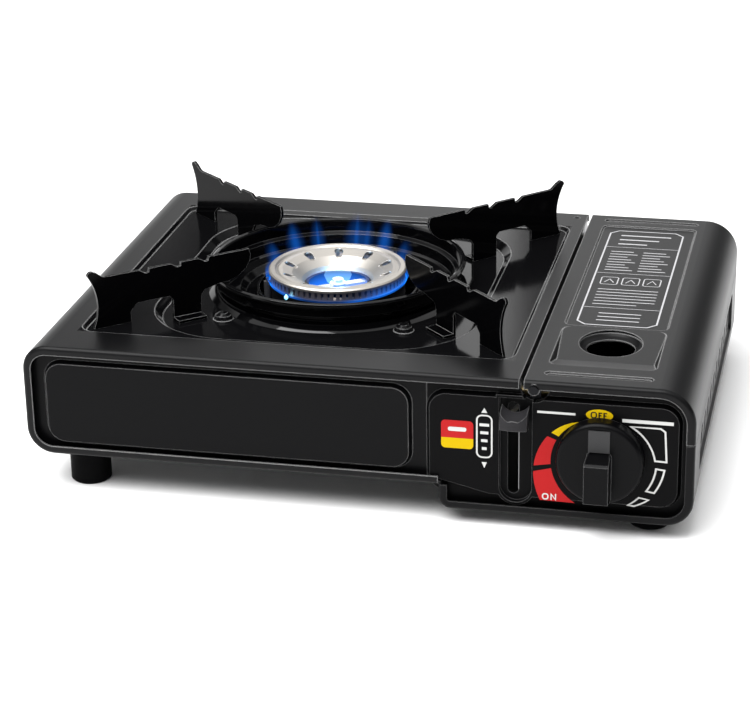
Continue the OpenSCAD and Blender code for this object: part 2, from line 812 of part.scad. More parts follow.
// Support plate turned to its corner, with the foot bent out of its inner leg
module pan_arm(turn, side, skew) {
    inner1 = arm_reach - outer_leg_w - window_w;
    color(plastic) in_well(0) rotate([0, 0, turn]) translate([arm_reach, 0, 0])
        rotate([0, 0, side * skew]) translate([-arm_reach, 0, 0]) {
        translate([0, arm_t / 2, 0]) rotate([90, 0, 0]) linear_extrude(arm_t) arm_outline();
        translate([inner1 - inner_leg_w, side > 0 ? 0 : -7, well_z + seat_gap])
            cube([inner_leg_w, 7, arm_t]);
    }
}

module pan_arm_front_left() pan_arm(180 + arm_turn, 1, 0);
module pan_arm_front_right() pan_arm(-arm_turn, -1, arm_skew);
module pan_arm_back_left() pan_arm(180 - arm_turn, -1, 0);
module pan_arm_back_right() pan_arm(arm_turn, 1, arm_skew);

// ---------------------------------------------------------------- burner

module burner_bracket() color(steel) difference() {
    foot = bracket_l / 2;
    low = belly_floor + bracket_t / 2;
    high = body_bottom - bracket_t / 2;
    in_well(0) rotate([90, 0, 0]) translate([0, 0, -bracket_w / 2]) linear_extrude(bracket_w)
        bent_sheet([[-foot, low], [12 - foot, low], [18 - foot, high], [foot - 18, high],
                   [foot - 12, low], [foot, low]], bracket_t);
    in_well(belly_h) cylinder(r = 9, h = deck_h);
}

module burner_body() color(alloy) difference() {
    in_well(0) union() {
        rotate_extrude($fn = 96) {
            polygon([[throat_r - 1.8, body_bottom], [27, body_bottom],
                     [ring_r, ring_bottom - 8], [ring_r, ring_bottom],
                     [ring_r - 2.2, ring_bottom], [ring_r - 2.2, ring_bottom - 7],
                     [25.5, body_bottom + 2], [throat_r, body_bottom + 2],
                     [throat_r, cap_z - 9], [throat_r - 1.8, cap_z - 9]]);
        }
        difference() {
            translate([0, 0, tube_z]) rotate([0, 90, 0]) cylinder(r = tube_r + 2, h = ring_r);
            translate([0, 0, body_bottom - over]) cylinder(r = 25, h = deck_h);
        }
    }
    in_well(tube_z) rotate([0, 90, 0]) translate([0, 0, 22]) cylinder(r = tube_r - 1.4, h = 20);
}

module flame_ring() color(alloy) in_well(0) difference() {
    translate([0, 0, ring_bottom]) difference() {
        cylinder(r = ring_r, h = ring_top - ring_bottom, $fn = 96);
        translate([0, 0, -over]) cylinder(r = ring_r - 3.6, h = deck_h, $fn = 96);
    }
    for (i = [0 : flame_slots - 1])
        rotate([0, 0, i * 360 / flame_slots])
            translate([ring_r - 5, -slot_w / 2, ring_top - slot_h])
            cube([8, slot_w, slot_h + over]);
}

module burner_cap() color(alloy) in_well(0) difference() {
    rotate_extrude($fn = 96)
        polygon([[throat_r + 0.1, cap_z - 9.6], [throat_r + 1.3, cap_z - 9.6],
                 [throat_r + 2.4, cap_z - 7.6], [cap_r - 12.2, cap_z - 4],
                 [cap_r - 7, cap_z - 2], [cap_r - 4.2, ring_top], [cap_r, ring_top],
                 [cap_r, cap_z - 0.8], [cap_r - 0.8, cap_z], [cap_r - 3.2, cap_z],
                 [cap_r - 4.2, cap_z - 1], [cap_r - 5.4, cap_z - 0.7],
                 [cap_r - 7.4, cap_z - 0.9], [cap_r - 12.6, cap_z - 2.8],
                 [throat_r + 1.6, cap_z - 6.6]]);
    for (i = [0 : cap_ports - 1])
        rotate([0, 0, cap_turn + (i + 0.5) * 360 / cap_ports])
            translate([cap_r - 10.8, 0, cap_z - 3.6]) linear_extrude(20) {
                translate([1.6, 0]) circle(2.4);
                translate([-2.2, 0]) circle(1.5);
                polygon([[-2.2, -1.5], [1.6, -2.4], [1.6, 2.4], [-2.2, 1.5]]);
            }
}

// Strip across the throat with the hub screw that clamps the cap
module burner_bridge() color(steel) in_well(cap_z - 12) {
    intersection() {
        rotate([0, 0, 35]) translate([-throat_r, -2.5, 0]) cube([2 * throat_r, 5, 1.6]);
        cylinder(r = throat_r - 1.8, h = 2);
    }
    cylinder(r = 4.5, h = 2.6);
    translate([0, 0, 2.6]) cylinder(r = 3, h = 2.2);
}

module mixing_tube() color(alloy) {
    x0 = burner_x + ring_r;
    x1 = tube_end;
    translate([0, burner_y, tube_z]) rotate([0, 90, 0]) rotate_extrude()
        polygon([[tube_r - 1.4, x0], [tube_r, x0], [tube_r, x1 - 8], [tube_r + 2, x1],
                 [tube_r + 0.6, x1], [tube_r - 1.4, x1 - 8]]);
}

tube_end = deck_x - 31;
jet_x = tube_end + 11;
pipe_r = 2.5;
pipe_z = tube_z + 4.5;
pipe_bend = 8;
pipe_y = regulator_y0 + 6;

module gas_jet() color(brass) {
    translate([jet_x - 5, burner_y - 6, tube_z - 6]) cube([10, 12, 13]);
    translate([jet_x - 5, burner_y, tube_z]) rotate([0, -90, 0]) cylinder(r1 = 4, r2 = 2, h = 5);
}

// Pipe from the regulator, through the heat shield and back to the jet
module gas_pipe() color(brass) {
    rod_x(pipe_y, pipe_z, pipe_r, jet_x + pipe_bend, regulator_x0);
    translate([jet_x + pipe_bend, pipe_y + pipe_bend, pipe_z]) rotate([0, 0, 180])
        rotate_extrude(angle = 90) translate([pipe_bend, 0]) circle(pipe_r);
    rod_y(jet_x, pipe_z, pipe_r, pipe_y + pipe_bend, burner_y - 6);
}

// Spark electrode in its ceramic sleeve, beside the flame ring
module electrode() color(ceramic) in_well(0) rotate([0, 0, 200]) {
    translate([ring_r + 1.9, 0, body_bottom + 8]) cylinder(r = 1.9, h = ring_top - body_bottom - 12);
    translate([ring_r + 1.9, 0, body_bottom + 4]) cylinder(r = 0.7, h = ring_top - body_bottom - 6);
}

// ---------------------------------------------------------------- gas works

module cartridge_cradle() color(steel) {
    y0 = cartridge_y + 12;
    y1 = min(cartridge_y + cartridge_l, back_panel_y - sheet - 8);
    rail = 14;
    rail_z = cartridge_z - sqrt(cartridge_r * cartridge_r - rail * rail) - seat_gap;
    for (s = [-1, 1])
        translate([cartridge_x + s * rail, 0, 0]) along_y(y0, y1)
            bent_sheet([[-s * 4, tray_floor + 0.4], [0, tray_floor + 0.4], [0, rail_z - 0.4],
                       [s * 4, rail_z - 0.4 + 1]], 0.8);
    for (y = [y0 + 10, y1 - 22])
        translate([cartridge_x - rail + 0.3, y, tray_floor]) cube([2 * rail - 0.6, 12, 0.8]);
}

module regulator_bracket() color(steel)
    along_y(regulator_y0 + 2, regulator_y1 - 2)
        bent_sheet([[regulator_x0 + 3, tray_floor + 0.5], [regulator_x0 + 10, tray_floor + 0.5],
                   [regulator_x0 + 10, regulator_z0 - 0.5], [regulator_x1 - 10, regulator_z0 - 0.5],
                   [regulator_x1 - 10, tray_floor + 0.5], [regulator_x1 - 3, tray_floor + 0.5]], 1);

module regulator_body() color(alloy) difference() {
    union() {
        translate([0, 0, 0]) along_y(regulator_y0, regulator_y1)
            corner_box(regulator_x0, regulator_z0, regulator_x1, regulator_z1, [5, 5, 5, 5]);
        rod_y(cartridge_x, cartridge_z, 10, regulator_y1 - over, inlet_y0);
        rod_y(knob_x, knob_z, 7, regulator_y0 - 1, regulator_y0 + over);
    }
    rod_y(knob_x, knob_z, stem_r + run_fit, regulator_y0 - 4, regulator_y0 + 10);
}

module regulator_cover() color(steel) {
    x = (regulator_x0 + regulator_x1) / 2;
    y = (regulator_y0 + regulator_y1) / 2;
    translate([x, y, regulator_z1]) {
        cylinder(r = 10, h = 1.5);
        translate([0, 0, 1.5]) cylinder(r1 = 8.5, r2 = 7, h = 2);
    }
}

module gas_inlet() color(brass) difference() {
    union() {
        rod_y(cartridge_x, cartridge_z, 6, inlet_y0, inlet_y0 + 2);
        rod_y(cartridge_x, cartridge_z, 4, inlet_y0, cartridge_y);
    }
    rod_y(cartridge_x, cartridge_z, inlet_r, inlet_y0 - over, cartridge_y + over);
}

cam_r = 8;
cam_rise = 3;
piezo_y = panel_y + control_t + 5.2;

module piezo_igniter() color(plastic) {
    rod_x(piezo_y, knob_z, 5.2, deck_x + 1.5, knob_x - cam_r - 11);
    rod_x(piezo_y, knob_z, 3, knob_x - cam_r - 11, knob_x - cam_r - cam_rise - 1);
}

// ---------------------------------------------------------------- knob and valve stem

knob_swing = 125;

module knob() color(plastic) difference() {
    face_y = knob_back_y - knob_disc_h;
    union() {
        translate([knob_x, knob_back_y, knob_z]) rotate([90, 0, 0]) rotate_extrude($fn = 96) {
            square([knob_r, knob_disc_h - 2.5]);
            square([knob_r - 2.5, knob_disc_h]);
            translate([knob_r - 2.5, knob_disc_h - 2.5]) circle(2.5);
        }
        intersection() {
            along_y(front_y - knob_out, face_y + over)
                corner_box(knob_x - bar_w / 2, knob_z - knob_r, knob_x + bar_w / 2, knob_z + 6.5,
                           [3, 3, 2, 2]);
            along_x(knob_x - knob_r, knob_x + knob_r)
                polygon([[front_y - knob_out, knob_z - 0.75 * knob_r],
                         [face_y, 3 + knob_z - knob_r], [face_y + over, 3 + knob_z - knob_r],
                         [face_y + over, knob_z + 6.5], [face_y, knob_z + 6.5],
                         [front_y - knob_out + 1.2, knob_z + 4.6],
                         [front_y - knob_out, knob_z + 3.6]]);
        }
    }
    rod_y(knob_x, knob_z, stem_r + 0.02, knob_back_y - 5, knob_back_y + over);
}

module knob_pointer() color("#6a6c70")
    translate([knob_x - 5.2, knob_back_y - knob_disc_h - 1.2, knob_z + 7]) cube([10.4, 1.2, 11]);

module valve_stem() color(brass)
    rod_y(knob_x, knob_z, stem_r, knob_back_y - 4.8, regulator_y0 + 8);

// Spiral cam that cocks the igniter as the knob turns left
module igniter_cam() color(plastic)
    along_y(piezo_y - 2.5, piezo_y + 2.5) difference() {
        translate([knob_x, knob_z]) polygon(concat(
            [for (a = [180 : -5 : 180 - knob_swing])
                let (r = cam_r + cam_rise * (180 - a) / knob_swing) [r * cos(a), r * sin(a)]],
            [for (a = [180 - knob_swing - 15 : -15 : -175]) [cam_r * cos(a), cam_r * sin(a)]]));
        translate([knob_x, knob_z]) circle(stem_r);
    }

// ---------------------------------------------------------------- lock lever and clamp

lever_pin_r = 2.5;

// Turns what is drawn with the lever level to its rest, grip up
module lever_pose() {
    translate([0, lever_y, lever_z]) rotate([-lever_angle, 0, 0]) children();
}

// Side view of the lever's long arm, with the tongue that the grip is moulded on
module lever_arm() {
    tongue = 5;
    translate([-lever_reach, -3]) square([lever_reach, 6]);
    translate([-lever_reach - tongue, -3]) square([tongue + over, 2.6]);
}

module lock_lever() color(steel) {
    x0 = lever_x - lever_t / 2;
    lever_pose() {
        along_x(x0, x0 + lever_t) difference() {
            union() {
                circle(6.5);
                lever_arm();
                translate([0, tail_r]) circle(peg_r + 1.5);
                translate([-peg_r - 1.5, 0]) square([2 * peg_r + 3, tail_r]);
            }
            circle(lever_pin_r + run_fit);
        }
        rod_x(0, tail_r, peg_r, x0 + lever_t - over, deck_x + 2.6);
    }
}

// Thumb grip whose sloping top is scooped for the finger, its lip rounded at the front
module lever_grip() color("#4a4b4e") lever_pose() {
    x0 = channel_x - grip_w / 2;
    y0 = -lever_reach - grip_out;
    z1 = grip_h - grip_below;
    slope = atan((z1 - lip_z) / grip_out);
    lip_r = 12;
    difference() {
        intersection() {
            along_x(x0, x0 + grip_w) difference() {
                polygon([[y0, -grip_below], [y0, lip_z], [y0 + grip_out, z1],
                         [y0 + grip_out + over, z1], [y0 + grip_out + over, -grip_below]]);
                circle(lever_reach, $fn = 96);
            }
            translate([channel_x, y0 + lip_r, -grip_h]) cylinder(r = lip_r, h = 2 * grip_h);
        }
        translate([channel_x, y0, lip_z]) rotate([slope - 90, 0, 0])
            translate([0, scoop_h - scoop_r, -over]) cylinder(r = scoop_r, h = 3 * grip_out);
        along_x(lever_x - lever_t / 2, lever_x + lever_t / 2) lever_arm();
    }
}

module lever_pin() color(steel) {
    rod_x(lever_y, lever_z, lever_pin_r, lever_x - lever_t / 2 - 1.8, deck_x);
    rod_x(lever_y, lever_z, lever_pin_r + 2, lever_x - lever_t / 2 - 3, lever_x - lever_t / 2 - 1);
}

// Slide on the heat shield whose prong draws the cartridge on to the inlet
module clamp_yoke() color(steel) {
    x0 = deck_x + move_gap;
    peg_y = lever_y + clamp_travel / 2;
    peg_z = lever_z + tail_r * cos(lever_angle);
    along_x(x0, x0 + 1.5) difference() {
        translate([cartridge_y + 4, peg_z - 9]) square([peg_y + 10 - cartridge_y - 4, 16]);
        translate([peg_y, peg_z + 0.2]) rotate(90) slot(2 * peg_r + 4, 2 * peg_r + 0.8);
    }
    translate([x0, cartridge_y + 4, peg_z - 9]) cube([12, 1.5, 12]);
}

casing();
tray();
front_panel();
control_panel();
back_panel();
partition();
hinge_bracket_front();
hinge_bracket_back();
hinge_pin_front();
hinge_pin_back();
foot_front_left();
foot_back_left();
foot_front_right();
foot_back_right();
cartridge_cradle();
burner_bracket();
burner_body();
flame_ring();
burner_cap();
burner_bridge();
mixing_tube();
gas_jet();
gas_pipe();
electrode();
regulator_bracket();
regulator_body();
regulator_cover();
gas_inlet();
piezo_igniter();
lever_pin();
lid();
drip_bowl();
pan_arm_front_left();
pan_arm_front_right();
pan_arm_back_left();
pan_arm_back_right();
knob();
knob_pointer();
valve_stem();
igniter_cam();
lock_lever();
lever_grip();
clamp_yoke();
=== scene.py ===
import bpy
import json
import math
from mathutils import Matrix, Vector


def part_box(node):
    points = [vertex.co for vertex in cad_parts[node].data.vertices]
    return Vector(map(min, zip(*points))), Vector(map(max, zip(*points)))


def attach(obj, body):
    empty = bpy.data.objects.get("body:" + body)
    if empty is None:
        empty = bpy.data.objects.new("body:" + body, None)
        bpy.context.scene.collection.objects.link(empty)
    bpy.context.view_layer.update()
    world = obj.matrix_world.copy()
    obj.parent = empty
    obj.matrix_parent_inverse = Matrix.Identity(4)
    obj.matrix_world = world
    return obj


# Dresses the model of a cassette stove: finishes, printed marks, flames, floor, light and camera

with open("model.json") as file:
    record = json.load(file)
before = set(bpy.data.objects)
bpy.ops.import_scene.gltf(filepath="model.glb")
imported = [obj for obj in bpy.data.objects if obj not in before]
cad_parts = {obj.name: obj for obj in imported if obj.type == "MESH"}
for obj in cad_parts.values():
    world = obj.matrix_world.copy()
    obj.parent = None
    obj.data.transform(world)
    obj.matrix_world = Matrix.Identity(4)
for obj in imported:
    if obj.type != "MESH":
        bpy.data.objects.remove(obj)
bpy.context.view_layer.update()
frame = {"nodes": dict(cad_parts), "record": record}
scene = bpy.context.scene
nodes = frame["nodes"]

# Shapes are worked out in millimetres and angles in degrees. MM turns millimetres into metres.
MM = 0.001

# ---------------------------------------------------------------- places worked out from the frame

# The casing's sunk deck and the well in it: the depth of each step, and half the sunk deck's size
RECESS_H, WELL_H = 2, 4
RECESS_HALF = (112.7, 101.7)
# How far the lid's pressed field lies below its top
LID_FIELD_H = 0.8
# How far the flame ring's slots start above its lower edge
RING_FOOT = 1
# How far the printed dial's middle lies below the knob's
DIAL_DROP = 1
# How far the grip's middle lies to the right of the lever's slot
GRIP_SHIFT = 1.4


def corners(node):
    """Lowest and highest corner of a node, in millimetres."""
    lo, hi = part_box(node)
    return [v / MM for v in lo], [v / MM for v in hi]


bowl_lo, bowl_hi = corners("drip_bowl")
burner_x = (bowl_lo[0] + bowl_hi[0]) / 2
burner_y = (bowl_lo[1] + bowl_hi[1]) / 2
ring_lo, ring_hi = corners("flame_ring")
ring_r = (ring_hi[0] - ring_lo[0]) / 2
slot_low = ring_lo[2] + RING_FOOT
slot_high = ring_hi[2]
cap_top = corners("burner_cap")[1][2]
well_z = corners("casing")[1][2] - RECESS_H - WELL_H
lid_field_z = corners("lid")[1][2] - LID_FIELD_H
panel_y = corners("control_panel")[0][1]
knob_lo, knob_hi = corners("knob")
knob_r = (knob_hi[0] - knob_lo[0]) / 2
dial_x = (knob_lo[0] + knob_hi[0]) / 2
dial_z = knob_hi[2] - knob_r - DIAL_DROP
grip_lo, grip_hi = corners("lever_grip")
lever_x = (grip_lo[0] + grip_hi[0]) / 2 - GRIP_SHIFT

# ---------------------------------------------------------------- new objects


def add(name, data):
    o = bpy.data.objects.new(name, data)
    scene.collection.objects.link(o)
    return o


def add_mesh(name, points, faces, m):
    """Mesh of one material, with its points in metres."""
    mesh = bpy.data.meshes.new(name)
    mesh.from_pydata(points, [], faces)
    mesh.materials.append(m)
    return add(name, mesh)


# ---------------------------------------------------------------- shader nodes


def math_node(tree, operation, *values):
    """Result of an operation on numbers and sockets."""
    n = tree.nodes.new("ShaderNodeMath")
    n.operation = operation
    for socket, value in zip(n.inputs, values):
        if isinstance(value, (int, float)):
            socket.default_value = value
        else:
            tree.links.new(value, socket)
    return n.outputs[0]


def ramp(tree, value, start, end, low, high, kind="SMOOTHSTEP"):
    """Goes from low to high while value goes from start to end."""
    n = tree.nodes.new("ShaderNodeMapRange")
    n.interpolation_type = kind
    n.inputs["From Min"].default_value = start
    n.inputs["From Max"].default_value = end
    n.inputs["To Min"].default_value = low
    n.inputs["To Max"].default_value = high
    tree.links.new(value, n.inputs["Value"])
    return n.outputs[0]


def coordinates(tree, kind):
    """Texture coordinates of one kind, whole and split into x, y and z."""
    whole = tree.nodes.new("ShaderNodeTexCoord").outputs[kind]
    split = tree.nodes.new("ShaderNodeSeparateXYZ")
    tree.links.new(whole, split.inputs[0])
    return whole, split.outputs


def shader(m):
    return m.node_tree.nodes["Principled BSDF"]


def material(name, color, rough, metal=0.0, specular=0.5, glow=None, glow_strength=0.0):
    m = bpy.data.materials.new(name)
    m.use_nodes = True
    inputs = shader(m).inputs
    inputs["Base Color"].default_value = (*color, 1)
    inputs["Roughness"].default_value = rough
    inputs["Metallic"].default_value = metal
    inputs["Specular IOR Level"].default_value = specular
    if glow:
        inputs["Emission Color"].default_value = (*glow, 1)
        inputs["Emission Strength"].default_value = glow_strength
    return m


# Cosine of an edge's turn at which its painted highlight line starts to show
HIGHLIGHT_STARTS = 0.975


def soft_edges_and_highlights(m, radius, painted_highlight, full):
    """Rounded look of edges, with a painted highlight line of that grey where the turn's cosine is down
    to full.
    """
    tree = m.node_tree
    bevel = tree.nodes.new("ShaderNodeBevel")
    bevel.samples = 4
    bevel.inputs["Radius"].default_value = radius * MM
    face = tree.nodes.new("ShaderNodeNewGeometry")
    turn = tree.nodes.new("ShaderNodeVectorMath")
    turn.operation = "DOT_PRODUCT"
    tree.links.new(bevel.outputs[0], turn.inputs[0])
    tree.links.new(face.outputs["Normal"], turn.inputs[1])
    line = ramp(tree, turn.outputs["Value"], HIGHLIGHT_STARTS, full, 0, 1)
    # Painted highlight: the base colour is mixed towards a pale grey along the edges
    color = shader(m).inputs["Base Color"]
    mix = tree.nodes.new("ShaderNodeMix")
    mix.data_type = "RGBA"
    tree.links.new(line, mix.inputs["Factor"])
    mix.inputs["A"].default_value = color.default_value
    mix.inputs["B"].default_value = (painted_highlight, painted_highlight, painted_highlight, 1)
    tree.links.new(mix.outputs["Result"], color)
    return bevel.outputs[0]


def grain(m, scale, depth, edge=0.0, painted_highlight=0.0, full=0.8):
    """Fine surface grain, over soft edges with painted highlight lines where a radius is given for
    them.
    """
    tree = m.node_tree
    noise = tree.nodes.new("ShaderNodeTexNoise")
    noise.inputs["Scale"].default_value = scale
    noise.inputs["Detail"].default_value = 2
    tree.links.new(coordinates(tree, "Object")[0], noise.inputs["Vector"])
    bump = tree.nodes.new("ShaderNodeBump")
    bump.inputs["Strength"].default_value = 1
    bump.inputs["Distance"].default_value = depth * MM
    tree.links.new(noise.outputs[0], bump.inputs["Height"])
    if edge:
        tree.links.new(soft_edges_and_highlights(m, edge, painted_highlight, full), bump.inputs["Normal"])
    tree.links.new(bump.outputs[0], shader(m).inputs["Normal"])


def glossy_inside(m, centre, half, inner_rough, outer_rough, reach=1):
    """Gloss enamel inside a rectangle and satin outside it, changing within that reach of its edge."""
    tree = m.node_tree
    _, xyz = coordinates(tree, "Object")
    past = []
    for axis in (0, 1):
        away = math_node(tree, "ABSOLUTE", math_node(tree, "SUBTRACT", xyz[axis], centre[axis] * MM))
        past.append(math_node(tree, "SUBTRACT", away, half[axis] * MM))
    edge = math_node(tree, "MAXIMUM", *past)
    rough = ramp(tree, edge, -reach * MM, reach * MM, inner_rough, outer_rough, "LINEAR")
    tree.links.new(rough, shader(m).inputs["Roughness"])


# ---------------------------------------------------------------- finishes

finishes = {
    "black_coat": material("black_coat", (0.0025, 0.0025, 0.0028), 0.28, specular=0.12),
    "satin_panel": material("satin_panel", (0.0016, 0.0016, 0.0019), 0.34, specular=0.07),
    "gloss_black": material("gloss_black", (0.001, 0.001, 0.0012), 0.05, specular=0.3),
    "arm_enamel": material("arm_enamel", (0.001, 0.001, 0.0012), 0.12, specular=0.05),
    "panel_plastic": material("panel_plastic", (0.0012, 0.0012, 0.0014), 0.4, specular=0.05),
    "knob_plastic": material("knob_plastic", (0.0015, 0.0015, 0.0018), 0.3, specular=0.07),
    "pointer_grey": material("pointer_grey", (0.03, 0.03, 0.031), 0.45, specular=0.15),
    "grip_grey": material("grip_grey", (0.016, 0.0155, 0.017), 0.45, specular=0.12),
    "plated_steel": material("plated_steel", (0.24, 0.24, 0.245), 0.32, metal=1),
    "burner_alloy": material("burner_alloy", (0.5, 0.43, 0.37), 0.4, metal=1),
    "burner_cap": material("burner_cap", (0.45, 0.425, 0.39), 0.44, metal=1),
    "brass": material("brass", (0.78, 0.6, 0.3), 0.3, metal=1),
    "rubber": material("rubber", (0.0016, 0.0016, 0.0018), 0.6, specular=0.03),
    "ceramic": material("ceramic", (0.03, 0.03, 0.032), 0.3, specular=0.2),
    "tray_coat": material("tray_coat", (0.0022, 0.0022, 0.0025), 0.3, specular=0.09),
    "dark_steel": material("dark_steel", (0.012, 0.012, 0.013), 0.4, metal=1),
    "dark_cast": material("dark_cast", (0.03, 0.03, 0.032), 0.45, metal=1),
    # Steel of the burner's bridge, with a painted blue glow for the flame's light on it
    "steel_painted_glow": material("steel_painted_glow", (0.8, 0.82, 0.85), 0.25, metal=1,
                          glow=(0.6, 0.75, 1), glow_strength=0.35),
}
# Each finish below gets painted highlight lines along its edges, besides its grain
grain(finishes["black_coat"], 1600, 0.012, edge=0.9, painted_highlight=0.24, full=0.92)
grain(finishes["satin_panel"], 1600, 0.01, edge=0.8, painted_highlight=0.2)
grain(finishes["gloss_black"], 300, 0.002, edge=0.6, painted_highlight=0.04)
grain(finishes["arm_enamel"], 900, 0.006, edge=0.4, painted_highlight=0.3)
grain(finishes["panel_plastic"], 1800, 0.01, edge=0.6, painted_highlight=0.1)
grain(finishes["knob_plastic"], 1800, 0.008, edge=0.6, painted_highlight=0.14)
grain(finishes["grip_grey"], 1400, 0.02, edge=0.5, painted_highlight=0.12)
grain(finishes["burner_alloy"], 900, 0.02)
grain(finishes["burner_cap"], 900, 0.006, edge=0.4, painted_highlight=0.5)
grain(finishes["rubber"], 1200, 0.03, edge=0.4, painted_highlight=0.02)
grain(finishes["tray_coat"], 1600, 0.012, edge=0.8, painted_highlight=0.05)
glossy_inside(finishes["black_coat"], (burner_x, burner_y), RECESS_HALF,
              inner_rough=0.08, outer_rough=0.34)

# Nodes with a finish of their own. Every other node has its material slot's.
own_finish = {
    "tray": "tray_coat",
    "burner_body": "dark_cast",
    # Bridge across the throat, in steel with a painted glow of the flame's light
    "burner_bridge": "steel_painted_glow",
    "hinge_pin_front": "dark_steel",
    "hinge_pin_back": "dark_steel",
    "hinge_bracket_front": "dark_steel",
    "hinge_bracket_back": "dark_steel",
    "lever_pin": "dark_steel",
}
for row in frame["record"]["subparts"]:
    worn = nodes[row["node"]].data.materials
    worn.clear()
    worn.append(finishes[own_finish.get(row["node"], row["material_slot"])])

# ---------------------------------------------------------------- flat outlines, drawn on u and v


def arc(u, v, r0, r1, a0, a1, steps):
    """Points from angle a0 to a1 about a middle, while the radius goes from r0 to r1."""
    out = []
    for i in range(steps + 1):
        t = i / steps
        a = math.radians(a0 + (a1 - a0) * t)
        r = r0 + (r1 - r0) * t
        out.append((u + r * math.cos(a), v + r * math.sin(a)))
    return out


def corner(u, v, r, start):
    """Quarter of a circle about a middle, from that angle on."""
    return arc(u, v, r, r, start, start + 90, 5)


def rounded(u0, v0, u1, v1, r):
    """Rectangle with round corners."""
    return (corner(u1 - r, v0 + r, r, -90) + corner(u1 - r, v1 - r, r, 0)
            + corner(u0 + r, v1 - r, r, 90) + corner(u0 + r, v0 + r, r, 180))


def bar(u0, v0, u1, v1):
    return [(u0, v0), (u1, v0), (u1, v1), (u0, v1)]


def oval(u, v, half_wide, half_high, steps):
    turns = [2 * math.pi * i / steps for i in range(steps)]
    return [(u + half_wide * math.cos(a), v + half_high * math.sin(a)) for a in turns]


def direction(start, end):
    return Vector((end[0] - start[0], end[1] - start[1])).normalized()


def stroke(points, width, closed=False):
    """Quads that draw a line through the points, its corners mitred by no more than its width."""
    n = len(points)
    sides = []
    for i, (u, v) in enumerate(points):
        before = direction(points[i - 1], (u, v)) if closed or i > 0 else None
        after = direction((u, v), points[(i + 1) % n]) if closed or i < n - 1 else None
        before, after = before or after, after or before
        normal = Vector((-before[1], before[0]))
        mitre = (normal + Vector((-after[1], after[0]))).normalized()
        reach = width / 2 / max(mitre.dot(normal), 0.5)
        sides.append(((u + mitre[0] * reach, v + mitre[1] * reach),
                      (u - mitre[0] * reach, v - mitre[1] * reach)))
    return [[*sides[i], *reversed(sides[(i + 1) % n])] for i in range(n if closed else n - 1)]


# ---------------------------------------------------------------- printed marks

white_ink = material("white_ink", (0.47, 0.47, 0.46), 0.5, specular=0.2)
lid_ink = material("lid_ink", (0.36, 0.36, 0.37), 0.5)
red_ink = material("red_ink", (0.34, 0.012, 0.013), 0.45, specular=0.06)
yellow_ink = material("yellow_ink", (0.47, 0.32, 0.001), 0.45, specular=0.06)
dark_ink = material("dark_ink", (0.01, 0.01, 0.01), 0.5, specular=0.1)

# How far ink lies off its surface, by itself and where it lies over other ink
INK, TOP_INK = 0.1, 0.2
# Middle of the lid's print, from left to right
LID_PRINT_X = 120.95


def by_dial(u, v, lift):
    """Place on the control panel, counted from the dial's middle."""
    return Vector((dial_x + u, panel_y - lift, dial_z + v)) * MM


def by_lever(u, z, lift):
    """Place on the control panel, with u counted from the lever's slot."""
    return Vector((lever_x + u, panel_y - lift, z)) * MM


def on_lid(u, y, lift):
    """Place on the lid's pressed field, with u counted from the print's middle."""
    return Vector((LID_PRINT_X + u, y, lid_field_z + lift)) * MM


def printed(name, shapes, ink, place, lift=INK, body="stove"):
    """Flat shapes of ink, each a closed outline, lying on the surface that place gives."""
    points, faces = [], []
    for shape in shapes:
        faces.append(list(range(len(points), len(points) + len(shape))))
        points += [place(u, v, lift) for u, v in shape]
    o = add_mesh(name, points, faces, ink)
    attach(o, body)


# Bands round the knob. Each side is its radius at DIAL_START and what that grows by per degree.
DIAL_START = 120
INNER_SIDE = (21.9, 0.045)
OUTER_SIDE = (22, 0.165)


def dial_side(side, a0, a1, steps):
    r, growth = side
    return arc(0, 0, r + (a0 - DIAL_START) * growth, r + (a1 - DIAL_START) * growth, a0, a1, steps)


def dial_band(start, inner_end, outer_end, inner_steps=10, outer_steps=10):
    return (dial_side(INNER_SIDE, start, inner_end, inner_steps)
            + dial_side(OUTER_SIDE, outer_end, start, outer_steps))


printed("dial_yellow", [dial_band(121, 153, 153)], yellow_ink, by_dial)
printed("dial_red", [dial_band(158.5, 190, 190)], red_ink, by_dial)
printed("dial_red_low", [dial_band(195, 243, 219, 12, 8)], red_ink, by_dial)

# OFF, on an oval above the knob
OFF_U, OFF_V, OFF_LINE = -1.2, 23.4, 0.6


def letter_f(u, v):
    """An F 3 mm high, from its left edge and its middle height."""
    return [bar(u, v - 1.5, u + 0.65, v + 1.5), bar(u, v + 0.9, u + 1.8, v + 1.5),
            bar(u, v - 0.4, u + 1.5, v + 0.2)]


printed("off_field", [oval(OFF_U, OFF_V, 6.6, 3, 32)], yellow_ink, by_dial)
off_word = stroke(rounded(OFF_U - 4, OFF_V - 1.4, OFF_U - 1.5, OFF_V + 1.4, 1), OFF_LINE, closed=True)
off_word += letter_f(OFF_U - 0.5, OFF_V) + letter_f(OFF_U + 1.9, OFF_V)
printed("off_word", off_word, dark_ink, by_dial, TOP_INK)

# Bars above the dial, and outlined fields to the right of the knob, from the highest to the lowest
OUTLINE, LOW_OUTLINE = 0.9, 0.8
lines = [bar(-31.5, 22.4, -12.9, 23.6), bar(9.9, 20.6, 34.6, 22.4)]
lines += stroke(arc(0, 0, 23.3, 26.2, 53, 3, 10) + [(31.7, 1.2), (30.7, 17), (28.5, 18.6)],
                OUTLINE, closed=True)
lines += stroke(arc(0, 0, 26.9, 26.9, -6, -34, 5) + arc(0, 0, 30.5, 31, -31, -6, 5),
                OUTLINE, closed=True)
lines += stroke(arc(0, 0, 26.6, 26.9, -45, -60, 4) + arc(0, 0, 28.8, 30.6, -55, -40, 4),
                LOW_OUTLINE, closed=True)
printed("dial_lines", lines, white_ink, by_dial)

# ON, over the low end of the lower red band
ON_LINE = 0.7
on_word = stroke(rounded(-28.4, -23.4, -25.8, -20.6, 1.1), ON_LINE, closed=True)
on_word += stroke([(-24.2, -23.7), (-24.2, -20.6), (-22, -23.4), (-22, -20.3)], ON_LINE)
printed("on_word", on_word, white_ink, by_dial, TOP_INK)

